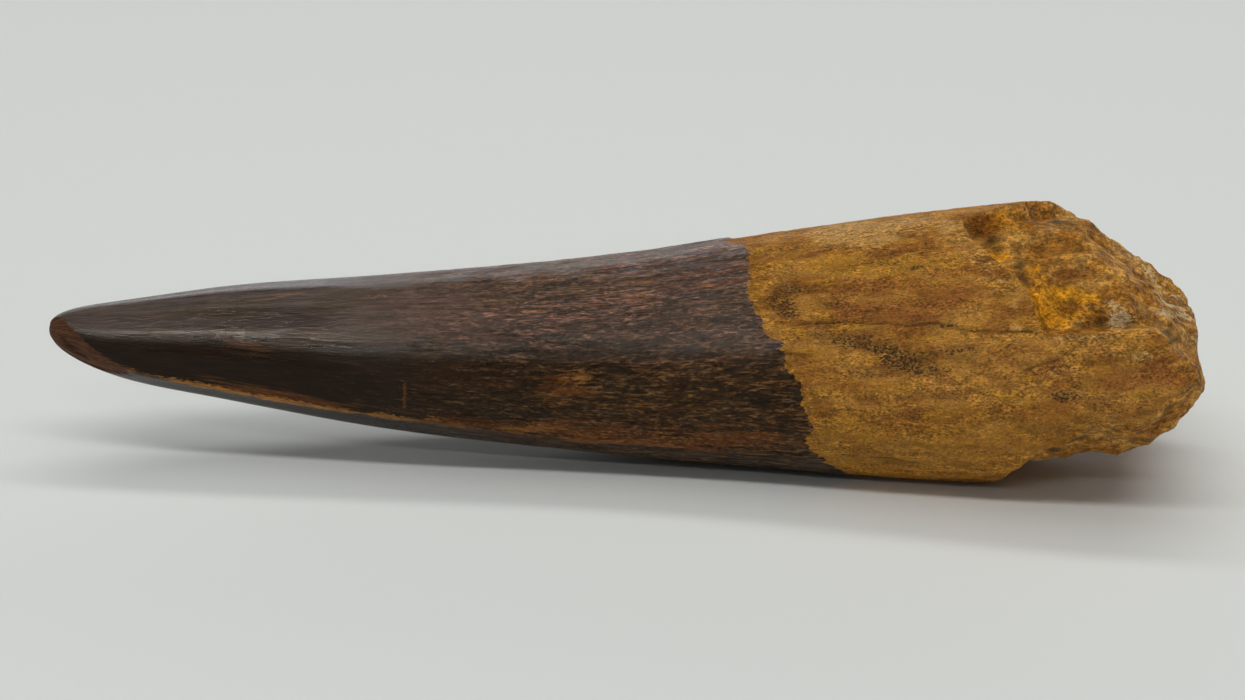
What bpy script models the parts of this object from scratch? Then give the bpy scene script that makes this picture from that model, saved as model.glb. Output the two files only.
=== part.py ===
"""Fossil spinosaurus tooth, lying on its side on a level surface.

Metres, +Z up. The tip points to -X and the broken root to +X, and the origin is on the surface, below
the middle of the tooth. A place on the tooth is given by its distance from the tip and by its angle
around the tooth: 0 faces -Y, 90 is the top, -90 is the underside and 180 faces +Y.

The tooth is one closed body. Rays leave its axis in every direction, and each corner of the mesh lies
where a ray meets the surface: the grown form of crown and root, cut back by the breaks at the root end.
The form is worked out straight, and then the crown is bent towards -Y and upwards. All distances from the
tip are those before the bend.
"""

import itertools
import math

import bmesh
import bpy
import numpy as np

MM = 0.001

# Driving dimensions
TOOTH_LENGTH = 110 * MM
ROOT_HALF_WIDTH = 14.1 * MM
SECTION_RATIO = 0.93
ENAMEL_THICKNESS = 0.20 * MM
FLAKE_DEPTH = 1.3 * MM

# Mesh: segments around the tooth and rings along it
SEGMENTS = 64
RINGS = 78

# The grown form: share of the length, with the share of the root's half width there
WIDTH_PROFILE = (
    (0.0, 0.0), (0.055, 0.24), (0.145, 0.36), (0.31, 0.53), (0.53, 0.70), (0.64, 0.800), (0.745, 0.885),
    (0.87, 0.95), (1.0, 1.0),
)
WIDTH_POWER = 0.4
SMALLEST_WIDTH = 0.001 * MM

# Height of the axis above the resting surface: distance from the tip, height
AXIS_HEIGHT = (
    (0, 8.5 * MM), (6 * MM, 8.05 * MM), (18 * MM, 8.3 * MM), (34 * MM, 8.2 * MM), (46 * MM, 8.6 * MM),
    (58 * MM, 9.3 * MM), (70 * MM, 10.35 * MM), (82 * MM, 11.35 * MM), (96 * MM, 12.5 * MM),
    (110 * MM, 13.9 * MM),
)
AXIS_BOW = 1.3 * MM
AXIS_BOW_LENGTH = 75 * MM

# The bend: from BEND_START to the tip, the crown is drawn ever more towards a far place in front and above
BEND_TOWARDS = (89.1 * MM, -232.6 * MM, 94.6 * MM)
BEND_SHARE = 0.048
BEND_START = 72 * MM
BEND_POWER = 1.3

# Moves the finished tooth so that its box lies evenly about the origin
TIP_DRAWN_BY = BEND_SHARE * BEND_TOWARDS[0]
FRAME_SHIFT = (-(TOOTH_LENGTH + TIP_DRAWN_BY) / 2, 1.4 * MM, 0.0)

# Carinae: the two cutting ridges, at the ends of the section's long axis
MESIAL_CARINA_ANGLE = math.radians(-40)
CARINA_HEIGHT = 0.35 * MM
CARINA_HALF_WIDTH = 0.9 * MM
CARINA_START = 5 * MM
CARINA_FADE = 6 * MM

# Shallow lengthwise flutes of the crown
FLUTE_COUNT = 13
FLUTE_DEPTH = 0.11 * MM
FLUTE_WEAKEST = 0.2
FLUTE_WANDER = 0.5
FLUTE_WANDER_LENGTH = 40 * MM
FLUTE_WANDER_WIDTH = 9 * MM
FLUTE_FADE_LENGTH = 25 * MM
FLUTE_FADE_WIDTH = 6 * MM
FLUTE_FULL_FROM = 12 * MM

# Where the enamel ends: angle around the tooth, distance from the tip
ENAMEL_EDGE = (
    (-180, 69 * MM), (-130, 73 * MM), (-90, 78 * MM), (-49, 78 * MM), (-20, 75.2 * MM), (0, 74.6 * MM),
    (14, 73.3 * MM), (34, 70.5 * MM), (48, 68.8 * MM), (80, 68.4 * MM), (107, 66.6 * MM), (140, 66 * MM),
    (180, 69 * MM),
)
ENAMEL_EDGE_JAG = 0.7 * MM
ENAMEL_EDGE_JAG_WIDTH = 2.2 * MM
ENAMEL_EDGE_BEVEL = 0.8 * MM

# Lengthwise swells of the root, from its fibrous grain
ROOT_SWELL = 0.16 * MM
ROOT_SWELL_LENGTH = 30 * MM
ROOT_SWELL_WIDTH = 3.5 * MM

# The worn facet at the tip: angle around the tooth, distance from the tip at which the facet ends
FACET_EDGE = (
    (-90, 0.0), (-70, 1 * MM), (-50, 7 * MM), (-30, 9.1 * MM), (-17, 7.1 * MM), (1, 5.1 * MM), (27, 3.3 * MM),
    (65, 1.4 * MM), (90, 0.0),
)
FACET_DEPTH = 0.18 * MM
FACET_BEVEL = 0.9 * MM

# The flake that is lost from the root's upper wall: angle, distance from the tip of the flake's lip
FLAKE_LIP = (
    (21, 95.3 * MM), (30, 94.6 * MM), (42, 93.5 * MM), (58, 90.7 * MM), (77, 88.2 * MM), (89, 88.1 * MM),
    (96, 91.2 * MM), (112, 94 * MM), (125, 97 * MM), (140, 102 * MM), (160, 112 * MM),
)
FLAKE_LOWER_ANGLE = math.radians(21)
FLAKE_WALL = 1.2 * MM
FLAKE_DEEPENS_BY = 0.8
FLAKE_DEEPENS_OVER = 9 * MM
FLAKE_FOOT_DEPTH = 0.5 * MM
FLAKE_FOOT_WIDTH = 2.4 * MM
FLAKE_LUMPS = 0.5 * MM
FLAKE_LUMP_LENGTH = 4.5 * MM
FLAKE_LUMP_WIDTH = 3.2 * MM

# Low swellings and hollows of the flake's floor: distance from the tip, angle, half length, half width,
# height
SWELLINGS = (
    (93.0 * MM, 90, 3.6 * MM, 2.4 * MM, 0.7 * MM), (96.8 * MM, 33, 2.4 * MM, 2.0 * MM, -0.6 * MM),
    (101.6 * MM, 30, 1.9 * MM, 1.5 * MM, 0.6 * MM), (98.5 * MM, 62, 3.0 * MM, 2.2 * MM, 0.5 * MM),
    (92.4 * MM, 64, 2.2 * MM, 1.6 * MM, -0.4 * MM), (101.5 * MM, 105, 2.6 * MM, 3.0 * MM, -0.6 * MM),
)

# Pits: distance from the tip, angle, radius, depth
PITS = (
    (89.6 * MM, 74, 1.2 * MM, 0.6 * MM), (96.5 * MM, 80, 1.2 * MM, 0.6 * MM),
    (99.8 * MM, 27, 1.0 * MM, 0.9 * MM), (106.0 * MM, 19, 1.1 * MM, 0.7 * MM),
    (96.9 * MM, -27, 1.0 * MM, 1.0 * MM), (98.6 * MM, -22, 1.2 * MM, 0.8 * MM),
    (3.2 * MM, -10, 0.7 * MM, 0.35 * MM),
)

# Breaks of the root end. Each lost piece lay beyond all of its faces, and a face is a point (distance from
# the tip, Y, height) and the way it looks
UPPER_BREAKS = (
    (((101.4 * MM, 1.0 * MM, 21.4 * MM), (0.58, -0.09, 0.80)),),
    (((101.4 * MM, 1.0 * MM, 21.6 * MM), (0.55, 0.32, 0.78)),),
    (((104.0 * MM, 11.2 * MM, 10.0 * MM), (0.62, 0.76, 0.18)),),
)
END_BREAKS = (
    (((109.4 * MM, -12.5 * MM, 12.5 * MM), (0.99, 0.04, 0.12)),),
    (((108.9 * MM, 1.0 * MM, 15.2 * MM), (0.84, 0.05, 0.54)),),
    (((106.6 * MM, -12.6 * MM, 9.8 * MM), (0.46, -0.70, -0.54)),),
    (((107.3 * MM, -11.3 * MM, 9.3 * MM), (0.72, -0.10, -0.68)),),
)
NOTCH = ((93.4 * MM, -10.5 * MM, 3.6 * MM), (0.60, -0.27, -0.76))
LOWER_BREAKS = (
    (NOTCH, ((101.0 * MM, -12.0 * MM, 7.0 * MM), (0.08, -0.73, -0.68))),
    (NOTCH, ((101.0 * MM, -10.5 * MM, 5.3 * MM), (0.12, -0.22, -0.97))),
)
UPPER_ROUGHNESS = 1.0
END_ROUGHNESS = 0.6
LOWER_ROUGHNESS = 0.6

# Lumps and sharp ridges of the broken faces: size, depth
BREAK_LUMPS = ((8.0 * MM, 0.60 * MM), (3.4 * MM, 0.50 * MM))
BREAK_RIDGES = ((5.0 * MM, 0.80 * MM), (2.2 * MM, 0.45 * MM))
RIDGE_LEVEL = 0.35

# Single lumps of the broken faces, and hollows, with a height below zero: place, radius, height
BREAK_SPOTS = (
    ((103.8 * MM, 1.7 * MM, 19.6 * MM), 1.8 * MM, 0.5 * MM),
    ((106.3 * MM, 1.7 * MM, 17.9 * MM), 1.3 * MM, -0.4 * MM),
)
BREAK_REACH = 84 * MM

# Rays: where each share of the rings lies. From CAP_START on, the rays lean forward, up to the middle of
# the root end
TIP_SPAN = 6 * MM
CAP_START = 94 * MM
CAP_SLIDE = 6 * MM
CAP_SHARE = 0.66
RING_SHARES = (0.0, 0.09, 0.35, CAP_SHARE)
RING_PLACES = (0.0, TIP_SPAN, 66 * MM, CAP_START)
RAY_REACH = 24 * MM
RAY_HALVINGS = 22

ROOT_COLOUR = (0.31, 0.13, 0.035, 1.0)
ROOT_ROUGHNESS = 0.62

# Random values of the noise, and shifts into them that give each relief its own part
NOISE_SIZE = 32
NOISE = np.random.default_rng(20).uniform(-1.0, 1.0, (NOISE_SIZE, NOISE_SIZE, NOISE_SIZE))
FLUTE_NOISE = 7.5
ROOT_NOISE = 3.5
FLAKE_NOISE = 11.5


def clear_scene():
    """Remove the objects that a new file starts with."""
    for item in list(bpy.data.objects):
        bpy.data.objects.remove(item, do_unlink=True)


def smooth_step(value, start, end):
    """0 below start, 1 above end, and an even curve between them."""
    share = np.clip((value - start) / (end - start), 0.0, 1.0)
    return share * share * (3.0 - 2.0 * share)


def smooth_curve(value, points):
    """The smooth curve through points, with its slope at each point taken from the neighbours."""
    places, heights = (np.array(column, dtype=float) for column in zip(*points))
    slopes = np.gradient(heights, places)
    value = np.clip(value, places[0], places[-1])
    index = np.clip(np.searchsorted(places, value, side="right") - 1, 0, len(places) - 2)
    span = places[index + 1] - places[index]
    share = (value - places[index]) / span
    rise = heights[index + 1] - heights[index]
    start_bend = slopes[index] * span - rise
    end_bend = rise - slopes[index + 1] * span
    bend = (1.0 - share) * start_bend + share * end_bend
    return heights[index] + share * rise + share * (1.0 - share) * bend


def lattice_noise(points):
    """Smooth noise between -1 and 1, with one lattice cell to a unit of length."""
    cell = np.floor(points).astype(int)
    inside = points - cell
    inside = inside * inside * (3.0 - 2.0 * inside)
    total = 0.0
    for corner in itertools.product((0, 1), repeat=3):
        x, y, z = np.moveaxis((cell + corner) % NOISE_SIZE, -1, 0)
        total = total + NOISE[x, y, z] * np.where(corner, inside, 1.0 - inside).prod(axis=-1)
    return total


def around(distance, angle, length_size, width_size):
    """Noise coordinates on the tooth's surface, which close up around it and follow its length."""
    girth = ROOT_HALF_WIDTH / width_size
    return np.stack([distance / length_size, girth * np.cos(angle), girth * np.sin(angle)], axis=-1)


def axis_height(distance):
    """Height of the tooth's axis above the resting surface."""
    return smooth_curve(distance, AXIS_HEIGHT)


def axis_bow(distance):
    """How far the axis bows towards -Y."""
    return -AXIS_BOW * np.sin(math.pi / 2 * np.clip(distance / AXIS_BOW_LENGTH, 0.0, 1.0))


def half_width(distance):
    """Half the section's longer width."""
    shares = [(share ** WIDTH_POWER, width) for share, width in WIDTH_PROFILE]
    share = np.clip(distance / TOOTH_LENGTH, 0.0, 1.0)
    return ROOT_HALF_WIDTH * smooth_curve(share ** WIDTH_POWER, shares)


def turn_between(angle, other):
    """Signed turn from other to angle, between -180 and 180 degrees, in radians."""
    return (angle - other + math.pi) % (2.0 * math.pi) - math.pi


def enamel_edge(angle):
    """Distance from the tip at which the enamel ends, with its jagged edge."""
    edge = smooth_curve(np.degrees(turn_between(angle, 0.0)), ENAMEL_EDGE)
    ring = around(np.zeros_like(angle), angle, ENAMEL_EDGE_JAG_WIDTH, ENAMEL_EDGE_JAG_WIDTH)
    return edge + ENAMEL_EDGE_JAG * lattice_noise(ring)


def carina_relief(distance, angle, long_width):
    """The ridge of a carina, on both ends of the section's long axis."""
    turn = np.minimum(
        np.abs(turn_between(angle, MESIAL_CARINA_ANGLE)),
        np.abs(turn_between(angle, MESIAL_CARINA_ANGLE + math.pi)),
    )
    ridge = np.exp(-((turn * long_width / CARINA_HALF_WIDTH) ** 2))
    grows = smooth_step(distance, CARINA_START, CARINA_START + CARINA_FADE)
    return CARINA_HEIGHT * ridge * grows


def flute_relief(distance, angle):
    """Shallow flutes, which wander a little along the crown."""
    wander = FLUTE_WANDER * lattice_noise(around(distance, angle, FLUTE_WANDER_LENGTH, FLUTE_WANDER_WIDTH))
    fade = lattice_noise(around(distance, angle, FLUTE_FADE_LENGTH, FLUTE_FADE_WIDTH) + FLUTE_NOISE)
    strength = FLUTE_WEAKEST + (1.0 - FLUTE_WEAKEST) * (1.0 + fade) / 2
    slender = smooth_step(distance, 0.0, FLUTE_FULL_FROM)
    return FLUTE_DEPTH * slender * strength * np.cos(FLUTE_COUNT * angle + math.pi * wander)


def root_relief(distance, angle):
    """Lengthwise swells of the root."""
    grain = lattice_noise(around(distance, angle, ROOT_SWELL_LENGTH, ROOT_SWELL_WIDTH) + ROOT_NOISE)
    return ROOT_SWELL * grain


def facet_relief(distance, angle):
    """Depth worn away at the tip's facet."""
    edge = smooth_curve(np.degrees(turn_between(angle, 0.0)), FACET_EDGE)
    return -FACET_DEPTH * smooth_step(edge - distance, 0.0, FACET_BEVEL)


def flake_inset(distance, angle):
    """How far inside the flake's lip a place lies, negative outside it."""
    turn = turn_between(angle, 0.0)
    lip = smooth_curve(np.degrees(turn), FLAKE_LIP)
    past_lip = distance - lip
    above_ledge = (turn - FLAKE_LOWER_ANGLE) * half_width(distance)
    return np.minimum(past_lip, above_ledge)


def flake_relief(distance, angle):
    """Depth lost with the flake: a wall at the lip, a channel at its foot, deeper towards the end."""
    inset = flake_inset(distance, angle)
    wall = smooth_step(inset, 0.0, FLAKE_WALL)
    deepens = 1.0 + FLAKE_DEEPENS_BY * smooth_step(inset, 0.0, FLAKE_DEEPENS_OVER)
    foot = FLAKE_FOOT_DEPTH * np.exp(-(((inset - FLAKE_FOOT_WIDTH / 2) / FLAKE_FOOT_WIDTH) ** 2))
    grain = lattice_noise(around(distance, angle, FLAKE_LUMP_LENGTH, FLAKE_LUMP_WIDTH) + FLAKE_NOISE)
    return -wall * (FLAKE_DEPTH * deepens + foot + FLAKE_LUMPS * grain - swelling_relief(distance, angle))


def mound(distance, angle, place, degrees, half_length, half_width_around):
    """1 at a place on the surface, falling to 0 all round it."""
    sideways = turn_between(angle, math.radians(degrees)) * half_width(distance)
    return np.exp(-((distance - place) / half_length) ** 2 - (sideways / half_width_around) ** 2)


def swelling_relief(distance, angle):
    """Swellings and hollows of the flake's floor."""
    return sum(height * mound(distance, angle, *spot) for *spot, height in SWELLINGS)


def pit_relief(distance, angle):
    """Round pits."""
    return -sum(depth * mound(distance, angle, place, degrees, radius, radius)
                for place, degrees, radius, depth in PITS)


def grown_radius(distance, angle):
    """Distance from the axis to the surface of crown and root, before the breaks at the end."""
    long_width = np.maximum(half_width(distance), SMALLEST_WIDTH)
    short_width = SECTION_RATIO * long_width
    turn = angle - MESIAL_CARINA_ANGLE
    section = long_width * short_width / np.hypot(short_width * np.cos(turn), long_width * np.sin(turn))
    on_root = smooth_step(distance - enamel_edge(angle), -ENAMEL_EDGE_BEVEL, 0.0)
    crown = carina_relief(distance, angle, long_width) + flute_relief(distance, angle)
    root = root_relief(distance, angle) - ENAMEL_THICKNESS + flake_relief(distance, angle)
    hollows = facet_relief(distance, angle) + pit_relief(distance, angle)
    return section + (1.0 - on_root) * crown + on_root * root + hollows


def beyond_face(points, place, facing):
    """How far points lie beyond a flat face of a break."""
    return (points - place) @ (np.array(facing) / np.linalg.norm(facing))


def break_lumps(points):
    """Lumps, hollows and sharp little ridges of the broken faces."""
    lumps = sum(depth * lattice_noise(points / size + size / MM) for size, depth in BREAK_LUMPS)
    ridges = sum(depth * (np.abs(lattice_noise(points / size - size / MM)) - RIDGE_LEVEL)
                 for size, depth in BREAK_RIDGES)
    spots = sum(height * np.exp(-((points - place) ** 2).sum(axis=-1) / radius ** 2)
                for place, radius, height in BREAK_SPOTS)
    return lumps + ridges - spots


def outside_by(points):
    """How far points lie outside the tooth, negative inside. X here is the distance from the tip."""
    distance = points[..., 0]
    forward = points[..., 1] - axis_bow(distance)
    upward = points[..., 2] - axis_height(distance)
    measure = np.hypot(forward, upward) - grown_radius(distance, np.arctan2(upward, -forward))
    lumps = break_lumps(points)
    breaks = ((UPPER_BREAKS, UPPER_ROUGHNESS), (END_BREAKS, END_ROUGHNESS), (LOWER_BREAKS, LOWER_ROUGHNESS))
    for pieces, roughness in breaks:
        for faces in pieces:
            beyond = np.min([beyond_face(points, *face) for face in faces], axis=0) + roughness * lumps
            measure = np.where(distance > BREAK_REACH, np.maximum(measure, beyond), measure)
    return measure


def rays(rings, angles):
    """Start and direction of the ray for each ring number and angle."""
    share = rings / RINGS
    place = np.interp(share, RING_SHARES, RING_PLACES)
    place = np.where(place < TIP_SPAN, place ** 2 / TIP_SPAN, place)
    cap = np.clip((share - CAP_SHARE) / (1.0 - CAP_SHARE), 0.0, 1.0)
    start = place + CAP_SLIDE * (1.0 - (1.0 - cap) ** 2)
    lean = math.pi / 2 * cap
    origin = np.stack([start, axis_bow(start), axis_height(start)], axis=-1)
    sideways = np.cos(lean)
    direction = np.stack([np.sin(lean), -sideways * np.cos(angles), sideways * np.sin(angles)], axis=-1)
    return origin, direction


def surface_points(origin, direction):
    """Where each ray meets the surface, found by halving."""
    near = np.zeros(origin.shape[:-1])
    far = np.full(origin.shape[:-1], RAY_REACH)
    for _ in range(RAY_HALVINGS):
        middle = (near + far) / 2
        inside = outside_by(origin + middle[..., None] * direction) < 0.0
        near = np.where(inside, middle, near)
        far = np.where(inside, far, middle)
    return origin + near[..., None] * direction


def bent(points):
    """The points after the crown's bend."""
    share = BEND_SHARE * np.clip(1.0 - points[..., 0] / BEND_START, 0.0, 1.0) ** BEND_POWER
    return points + share[..., None] * (np.array(BEND_TOWARDS) - points)


def tooth_mesh():
    """A sphere whose corners are laid on the tooth's surface."""
    shape = bmesh.new()
    bmesh.ops.create_uvsphere(shape, u_segments=SEGMENTS, v_segments=RINGS, radius=1.0)
    corners = np.array([corner.co[:] for corner in shape.verts])
    rings = np.round(np.arccos(np.clip(corners[:, 2], -1.0, 1.0)) / math.pi * RINGS)
    angles = np.arctan2(corners[:, 1], corners[:, 0])
    points = bent(surface_points(*rays(rings, angles))) + FRAME_SHIFT
    points[:, 2] = np.maximum(points[:, 2], 0.0)
    for corner, point in zip(shape.verts, points):
        corner.co = point
    mesh = bpy.data.meshes.new("tooth")
    shape.to_mesh(mesh)
    shape.free()
    mesh.shade_smooth()
    return mesh


def tooth_material():
    """Fossil dentine and enamel, as one plain finish."""
    material = bpy.data.materials.new("fossil_tooth")
    material.use_nodes = True
    shader = material.node_tree.nodes["Principled BSDF"]
    shader.inputs["Base Color"].default_value = ROOT_COLOUR
    shader.inputs["Roughness"].default_value = ROOT_ROUGHNESS
    shader.inputs["Metallic"].default_value = 0.0
    return material


def main():
    clear_scene()
    collection = bpy.data.collections.new("fossil_spinosaurus_tooth")
    bpy.context.scene.collection.children.link(collection)
    tooth = bpy.data.objects.new("tooth", tooth_mesh())
    tooth.data.materials.append(tooth_material())
    collection.objects.link(tooth)


main()
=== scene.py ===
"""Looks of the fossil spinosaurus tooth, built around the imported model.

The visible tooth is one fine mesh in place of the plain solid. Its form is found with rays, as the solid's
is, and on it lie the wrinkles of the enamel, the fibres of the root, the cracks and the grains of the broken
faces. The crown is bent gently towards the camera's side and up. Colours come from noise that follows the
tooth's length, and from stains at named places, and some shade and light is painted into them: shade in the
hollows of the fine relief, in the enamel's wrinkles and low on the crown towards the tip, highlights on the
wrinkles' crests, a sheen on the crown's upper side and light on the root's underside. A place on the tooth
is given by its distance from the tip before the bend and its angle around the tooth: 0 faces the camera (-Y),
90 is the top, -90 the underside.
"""

import itertools
import math

import bmesh
import bpy
import numpy as np
from mathutils import Matrix, Vector


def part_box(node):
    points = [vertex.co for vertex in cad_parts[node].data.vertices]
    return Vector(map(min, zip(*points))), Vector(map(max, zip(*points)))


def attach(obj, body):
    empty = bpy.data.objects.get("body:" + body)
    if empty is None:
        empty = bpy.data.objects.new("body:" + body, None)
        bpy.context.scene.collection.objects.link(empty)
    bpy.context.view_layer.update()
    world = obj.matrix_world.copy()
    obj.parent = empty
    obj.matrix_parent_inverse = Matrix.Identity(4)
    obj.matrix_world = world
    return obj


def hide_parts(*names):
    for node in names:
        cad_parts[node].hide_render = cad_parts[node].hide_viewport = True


MM = 0.001

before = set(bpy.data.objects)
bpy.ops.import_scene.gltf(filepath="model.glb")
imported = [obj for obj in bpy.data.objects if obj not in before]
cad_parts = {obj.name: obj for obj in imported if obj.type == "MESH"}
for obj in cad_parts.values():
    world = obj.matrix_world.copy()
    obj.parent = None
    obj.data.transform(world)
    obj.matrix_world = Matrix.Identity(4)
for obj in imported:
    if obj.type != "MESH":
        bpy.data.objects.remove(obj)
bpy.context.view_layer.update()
tip_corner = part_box("tooth")[0]

# The form, which follows the solid's, with softer carinae, flutes, enamel step and flake wall. Lengths are in
# metres, except in the tables whose comments say mm
BEND_TOWARDS = (89.1 * MM, -232.6 * MM, 94.6 * MM)
BEND_SHARE = 0.048
BEND_START = 72 * MM
BEND_POWER = 1.3
TIP_DRAWN_BY = BEND_SHARE * BEND_TOWARDS[0]
TOOTH_LENGTH = TIP_DRAWN_BY - 2.0 * tip_corner.x
FRAME_SHIFT = (tip_corner.x - TIP_DRAWN_BY, 1.4 * MM, 0.0)
ROOT_HALF_WIDTH = 14.1 * MM
SECTION_RATIO = 0.93
ENAMEL_THICKNESS = 0.12 * MM
WIDTH_PROFILE = (
    (0.0, 0.0), (0.055, 0.24), (0.145, 0.36), (0.31, 0.53), (0.53, 0.70), (0.64, 0.800), (0.745, 0.885),
    (0.87, 0.95), (1.0, 1.0),
)
WIDTH_POWER = 0.4
SMALLEST_WIDTH = 0.001 * MM
LONG_AXIS_ANGLE = math.radians(-40)

# Height of the tooth's axis: distance from the tip and height, in mm
AXIS_HEIGHT = (
    (0, 8.5), (6, 8.05), (18, 8.3), (34, 8.2), (46, 8.6), (58, 9.3), (70, 10.35), (82, 11.35), (96, 12.5),
    (110, 13.9),
)
AXIS_BOW = 1.3 * MM
AXIS_BOW_LENGTH = 75 * MM

# Mesh: segments around the tooth, rings along it, and where each share of the rings lies. From CAP_START on,
# the rays lean forward, up to the middle of the root end
SEGMENTS = 440
RINGS = 226
TIP_SPAN = 6 * MM
CAP_START = 94 * MM
CAP_SLIDE = 6 * MM
CAP_SHARE = 0.66
RING_SHARES = (0.0, 0.09, 0.38, CAP_SHARE)
RING_PLACES = (0.0, TIP_SPAN, 66 * MM, CAP_START)
RAY_REACH = 24 * MM
RAY_HALVINGS = 15

# Carinae: distance from the tip, angle of the near one's crest
CARINA_LINE = (
    (0, -45), (5 * MM, -33), (8.3 * MM, -29), (14.4 * MM, -33), (20.5 * MM, -36), (28 * MM, -34.5),
    (36.4 * MM, -33), (41 * MM, -34), (52 * MM, -37.5), (64 * MM, -36), (78 * MM, -37.5), (110 * MM, -38),
)
CARINA_HEIGHT = 0.15 * MM
CARINA_HALF_WIDTH = 0.7 * MM
CARINA_START = 5 * MM
CARINA_FADE = 6 * MM

# A fuller side below the near carina, in mm: distance from the tip, angle, half length, half width, height
KEEL = (16, -66, 14, 2.4, 0.35)

# Flutes of the crown
FLUTE_COUNT = 13
FLUTE_DEPTH = 0.06 * MM
FLUTE_WEAKEST = 0.2
FLUTE_WANDER = 0.5
FLUTE_WANDER_LENGTH = 40 * MM
FLUTE_WANDER_WIDTH = 9 * MM
FLUTE_FADE_LENGTH = 25 * MM
FLUTE_FADE_WIDTH = 6 * MM
FLUTE_FULL_FROM = 12 * MM

# Where the enamel ends: angle around the tooth, distance from the tip in mm
ENAMEL_EDGE = (
    (-180, 69), (-130, 73), (-90, 78), (-49, 78), (-42, 76.8), (-31, 75.6), (-20, 75.2), (-7, 74.9),
    (1, 74.4), (10, 73.5), (18, 72.7), (23, 72.4), (26, 71.3), (34, 70.8), (41, 69.9), (48, 69.4), (65, 69.2),
    (73, 69.3), (80, 68.4), (88, 68.3), (94, 67.1), (107, 66.6), (140, 66), (180, 69),
)
ENAMEL_EDGE_JAGS = ((2.2 * MM, 0.45 * MM), (0.8 * MM, 0.30 * MM))
ENAMEL_EDGE_BEVEL = 0.5 * MM

# Lengthwise swells of the root
ROOT_SWELL = 0.16 * MM
ROOT_SWELL_LENGTH = 30 * MM
ROOT_SWELL_WIDTH = 3.5 * MM

# The worn facet at the tip: angle, distance from the tip in mm at which it ends
FACET_EDGE = (
    (-90, 0.0), (-70, 1), (-50, 7), (-30, 9.1), (-17, 7.1), (1, 5.1), (27, 3.3), (65, 1.4), (90, 0.0),
)
FACET_DEPTH = 0.18 * MM
FACET_BEVEL = 0.9 * MM

# The flake that is lost from the root's upper wall: angle, distance from the tip of the flake's lip in mm
FLAKE_LIP = (
    (21, 95.3), (30, 94.6), (42, 93.5), (58, 90.7), (77, 88.2), (89, 88.1), (96, 91.2), (112, 94), (125, 97),
    (140, 102), (160, 112),
)
FLAKE_LOWER_ANGLE = math.radians(21)
FLAKE_DEPTH = 1.3 * MM
FLAKE_WALL = 1.0 * MM
FLAKE_DEEPENS_BY = 0.8
FLAKE_DEEPENS_OVER = 9 * MM
FLAKE_FOOT_DEPTH = 0.5 * MM
FLAKE_FOOT_WIDTH = 2.4 * MM
FLAKE_LUMPS = 0.5 * MM
FLAKE_LUMP_LENGTH = 4.5 * MM
FLAKE_LUMP_WIDTH = 3.2 * MM

# Swellings and hollows of the flake's floor, in mm: distance from the tip, angle, half length, half width,
# height
SWELLINGS = (
    (93.0, 90, 3.6, 2.4, 0.7), (96.8, 33, 2.4, 2.0, -0.6), (101.6, 30, 1.9, 1.5, 0.6),
    (98.5, 62, 3.0, 2.2, 0.5), (92.4, 64, 2.2, 1.6, -0.4), (101.5, 105, 2.6, 3.0, -0.6),
)

# Pits, in mm: distance from the tip, angle, radius, depth
PITS = (
    (89.6, 74, 1.2, 0.6), (96.5, 80, 1.2, 0.6), (99.8, 27, 1.0, 0.9), (106.0, 19, 1.1, 0.7),
    (96.9, -27, 1.0, 1.0), (98.6, -22, 1.2, 0.8), (3.2, -10, 0.7, 0.35),
)

# Breaks of the root end, each with its roughness and faces. What lay beyond all of its faces is lost, and a
# face is a point (distance from the tip, Y and height, in mm) and the way it looks
NOTCH = ((93.4, -10.5, 3.6), (0.60, -0.27, -0.76))
BREAKS = (
    (1.0, ((101.4, 1.0, 21.4), (0.58, -0.09, 0.80))),
    (1.0, ((101.4, 1.0, 21.6), (0.55, 0.32, 0.78))),
    (1.0, ((104.0, 11.2, 10.0), (0.62, 0.76, 0.18))),
    (0.6, ((109.4, -12.5, 12.5), (0.99, 0.04, 0.12))),
    (0.6, ((108.9, 1.0, 15.2), (0.84, 0.05, 0.54))),
    (0.6, ((106.6, -12.6, 9.8), (0.46, -0.70, -0.54))),
    (0.6, ((107.3, -11.3, 9.3), (0.72, -0.10, -0.68))),
    (0.6, NOTCH, ((101.0, -12.0, 7.0), (0.08, -0.73, -0.68))),
    (0.6, NOTCH, ((101.0, -10.5, 5.3), (0.12, -0.22, -0.97))),
)
BREAK_LUMPS = ((8.0 * MM, 0.60 * MM), (3.4 * MM, 0.50 * MM))
BREAK_RIDGES = ((5.0 * MM, 0.80 * MM), (2.2 * MM, 0.45 * MM))
RIDGE_LEVEL = 0.35

# Single bumps and hollows of the broken faces, in mm: place, radius, height
BREAK_SPOTS = (
    ((103.8, 1.7, 19.6), 1.8, 0.5),
    ((105.2, 1.6, 18.7), 1.3, 0.4),
    ((102.9, 1.3, 20.6), 1.2, -0.6),
    ((108.7, 6.1, 15.3), 1.6, -1.3),
    ((109.2, -13.0, 12.8), 1.8, -0.8),
)
BREAK_REACH = 84 * MM

# Fine relief that only the visible mesh has: length and width of a wrinkle or fibre, and its height
WRINKLES = ((4 * MM, 1.1 * MM, 0.055 * MM), (2 * MM, 0.7 * MM, 0.04 * MM))
WRINKLES_START = 24 * MM
WRINKLES_FULL_FROM = 50 * MM
FIBRES = ((4 * MM, 1.5 * MM, 0.05 * MM), (1.3 * MM, 0.8 * MM, 0.06 * MM))
GRAINS = ((1.9 * MM, 0.14 * MM), (0.95 * MM, 0.13 * MM))
FLAKE_FLOOR_GRAIN = 0.6
RIDGE_OFFSET = 0.6

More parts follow.
